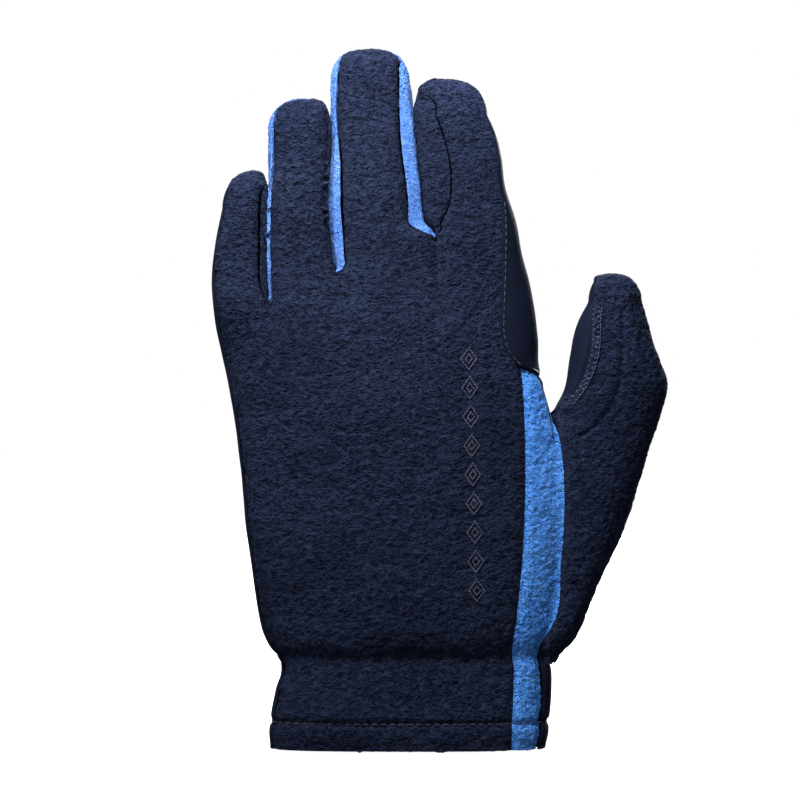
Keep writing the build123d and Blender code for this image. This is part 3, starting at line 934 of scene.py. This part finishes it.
# ------------------------------------------------------------------ thread and stitches
def lay_stitches(name, rows, pitch, length, radius, material, replaced):
    """Short thread stitches along rows of points, half sunk in the cloth, as one piece."""
    bm = bmesh.new()
    for row in rows:
        run = pitch / 2
        for a, b in zip(row, row[1:]):
            step = (b - a).length
            turn = (b - a).to_track_quat("Z", "Y").to_matrix().to_4x4()
            while run < step:
                place = Matrix.Translation(a.lerp(b, run / step)) @ turn
                place = place @ Matrix.Diagonal((radius, radius, length / 2, 1))
                bmesh.ops.create_uvsphere(bm, u_segments=6, v_segments=5, radius=1.0,
                                          matrix=place)
                run += pitch
            run -= step
    bmesh.ops.scale(bm, vec=(MM, MM, MM), verts=bm.verts)
    stitches = as_object(bm, name, material)
    shade_smooth(stitches)
    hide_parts(*replaced)
    return stitches


def on_back(x, z, surface, proud=0.0):
    """A point on the back of the hand or thumb, on top of its surface."""
    p = Vector((x, -float(hand_height(x, z)), z))
    return Vector((x, p.y - surface(p) - proud, z))


def on_cuff(angle, z, proud=0.0):
    """A point round the cuff's outline, from the thumb side over the palm."""
    low, high = float(little_edge(z)), float(thumb_side_edge(z))
    centre, half = (low + high) / 2, (high - low) / 2 + proud
    reach = abs(cos(angle))
    y = (float(half_depth(z)) + proud) * max(1 - reach**3, 0) ** (1 / 2.4)
    return Vector((centre + half * cos(angle), y if sin(angle) > 0 else -y, z))


hem_row = [on_cuff(2 * pi * i / 240, HEM_LINE, -0.5) for i in range(241)]
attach(lay_stitches("hem_stitches", [hem_row], 3.1, 2.3, 0.24, SEAM_THREAD,
                     ["hem_stitching"]), "hand")

motif_rows = []
for centre_x, centre_z in motif_centres:
    for size in (1.0, 0.42):
        wide, high = LOZENGE_WIDE / 2 * size, LOZENGE_HIGH / 2 * size
        corners = ((-wide, 0), (0, -high), (wide, 0), (0, high), (-wide, 0))
        motif_rows.append([on_back(centre_x + dx, centre_z + dz, back_surface, 0.18)
                           for dx, dz in corners])
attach(lay_stitches("lozenge_embroidery", motif_rows, 1.12, 1.25, 0.27, MOTIF_THREAD,
                     ["embroidered_motif"]), "hand")


def wrap_top(z):
    """A point of the topstitching, just inside the wrap's seam."""
    x = float(back_edge(z)) + 1.3
    back_y = float(wrap_section(np.array([0.03]), np.array([z]))[1][0])
    return Vector((x, back_y - 0.25, z))


topstitch = lay_stitches("index_wrap_topstitch",
                         [[wrap_top(z) for z in np.arange(134.5, index.split, 1.5)]],
                         2.6, 2.0, 0.2, SEAM_THREAD, ["index_topstitch"])
over_knuckles(topstitch)


def ridge_point(z, offset):
    """A point beside the thumb's raised seam."""
    x = float(patch_edge(z)) + offset
    return on_back(x, z, thumb_pile, 0.2)


zigzag = [ridge_point(z, 0.5 if i % 2 else 2.6) for i, z in enumerate(np.arange(121, 156, 0.9))]
overlock = lay_stitches("thumb_seam_overlock",
                        [zigzag, [ridge_point(z, 3.1) for z in np.arange(121, 156, 1.5)]],
                        1.15, 1.1, 0.26, RIDGE_THREAD, ["thumb_seam_ridge"])
blended(overlock)


# ------------------------------------------------------------------ bound edge
def bound_edge(s, v):
    """The rolled binding between the wrap and the stripe, closed at both ends."""
    foot, head = (38.9, 134.6), (46.3, 131.5)
    x = foot[0] + (head[0] - foot[0]) * v
    z = foot[1] + (head[1] - foot[1]) * v + 0.5 * np.sin(pi * v)
    swell = np.sqrt(np.clip(1 - np.abs(2 * v - 1) ** 14, 0, 1)) * (0.62 + 0.3 * v)
    on_hand = hand_height(np.minimum(x, thumb_side_edge(z) - 0.25), z)
    turn = 2 * pi * s
    return x, -on_hand - 0.35 + swell * np.cos(turn), z + swell * np.sin(turn)


bm = bmesh.new()
add_sheet(bm, bound_edge, 14, 44)
binding = finish_piece(bm, "stripe_edge_binding", BINDING, lambda p: 0.0,
                       lambda p: Vector((0, 1 if p.y > -hand_height(p.x, p.z) else -1, 0)), 0)
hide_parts("stripe_binding")
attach(binding, "hand")


# ------------------------------------------------------------------ inside the cuff
def cuff_band(name, low, high, inset, thickness, material, node, surface, turns=(0, 1)):
    """A band of cloth lying inside the cuff."""
    bm = bmesh.new()
    around = round(240 * (turns[1] - turns[0]))

    def place(s, v):
        angle = 2 * pi * (turns[0] + (turns[1] - turns[0]) * s)
        z = low + (high - low) * v
        middle = (little_edge(z) + thumb_side_edge(z)) / 2
        half = (thumb_side_edge(z) - little_edge(z)) / 2 - inset
        reach = np.abs(np.cos(angle))
        depth = (half_depth(z) - inset) * np.clip(1 - reach**3, 0, 1) ** (1 / 2.4)
        return middle + half * np.cos(angle), depth * np.sign(np.sin(angle)), z

    add_sheet(bm, place, around, max(6, round((high - low) / PLAIN)))
    band = finish_piece(bm, name, material, surface,
                        lambda p: Vector((p.x, 6 * p.y, 0)), thickness)
    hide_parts(node)
    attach(band, "hand")


def inside_swell(p):
    """The little that a band inside the cuff follows the cloth's slack."""
    return 0.5 * slack(p)


INSIDE = FABRIC + 0.5
cuff_band("hem_turned_up", 0.35, HEM_LINE + 1.8, INSIDE, 0.9, LINING, "hem_turnup",
          inside_swell)
cuff_band("wrist_elastic_band", WRIST - 3.5, WRIST + 3.5, INSIDE + 1.0, 0.9, ELASTIC,
          "wrist_elastic", inside_swell)
cuff_band("care_label_tape", HEM_LINE, HEM_LINE + 14, INSIDE + 1.2, 0.35, LABEL,
          "care_label", inside_swell, turns=(0.21, 0.29))

# ------------------------------------------------------------------ camera, light and floor
CENTRE = Vector((-0.0028, 0, 0.1225))
FIELD = 0.2822              # width of the view at the glove
LENS, SENSOR = 135, 36
camera_data = bpy.data.cameras.new("camera")
camera_data.lens, camera_data.sensor_width = LENS, SENSOR
camera = bpy.data.objects.new("camera", camera_data)
bpy.context.scene.collection.objects.link(camera)
camera.location = CENTRE + Vector((0, -FIELD * LENS / SENSOR, 0))
camera.rotation_euler = (pi / 2, 0, 0)
camera_data.clip_start, camera_data.clip_end = 0.05, 20
bpy.context.scene.camera = camera


def area_light(name, place, aim, size, power):
    """A soft square white light."""
    data = bpy.data.lights.new(name, "AREA")
    data.energy, data.size = power, size
    lamp = bpy.data.objects.new(name, data)
    lamp.location = place
    lamp.rotation_euler = (Vector(aim) - Vector(place)).to_track_quat("-Z", "Y").to_euler()
    bpy.context.scene.collection.objects.link(lamp)


area_light("key", (-0.25, -0.21, 0.43), (0, 0, 0.14), 0.2, 1.5)
area_light("fingertips", (-0.03, -0.14, 0.37), (0, 0, 0.17), 0.12, 1.65)
area_light("front", (-0.4, -1.4, 0.5), (0, 0, 0.12), 0.9, 2.7)
area_light("back", (0.5, 1.3, 0.9), (0, 0, 0.12), 1.0, 60)

# The backdrop shows white, and lights the glove only softly
world = bpy.data.worlds.new("studio")
world.use_nodes = True
sky = world.node_tree
soft = sky.nodes["Background"]
soft.inputs["Color"].default_value = (0.92, 0.95, 1, 1)
soft.inputs["Strength"].default_value = 0.2
bright = sky.nodes.new("ShaderNodeBackground")
bright.inputs["Color"].default_value = (1, 1, 1, 1)
bright.inputs["Strength"].default_value = 1.0
seen = sky.nodes.new("ShaderNodeLightPath")
mix = sky.nodes.new("ShaderNodeMixShader")
sky.links.new(seen.outputs["Is Camera Ray"], mix.inputs["Fac"])
sky.links.new(soft.outputs["Background"], mix.inputs[1])
sky.links.new(bright.outputs["Background"], mix.inputs[2])
sky.links.new(mix.outputs["Shader"], sky.nodes["World Output"].inputs["Surface"])
bpy.context.scene.world = world
bpy.context.scene.view_settings.view_transform = "Standard"

bm = bmesh.new()
bmesh.ops.create_grid(bm, x_segments=8, y_segments=8, size=6)
bmesh.ops.translate(bm, vec=(0, 0, -0.0008), verts=bm.verts)
white, _, white_shader, _ = new_material("white floor")
white_shader.inputs["Base Color"].default_value = (0.6, 0.6, 0.6, 1)
white_shader.inputs["Specular IOR Level"].default_value = 0.0
white_shader.inputs["Emission Color"].default_value = (1, 1, 1, 1)
white_shader.inputs["Emission Strength"].default_value = 0.97
floor = as_object(bm, "floor", white)
floor.visible_diffuse = False
floor.visible_glossy = False
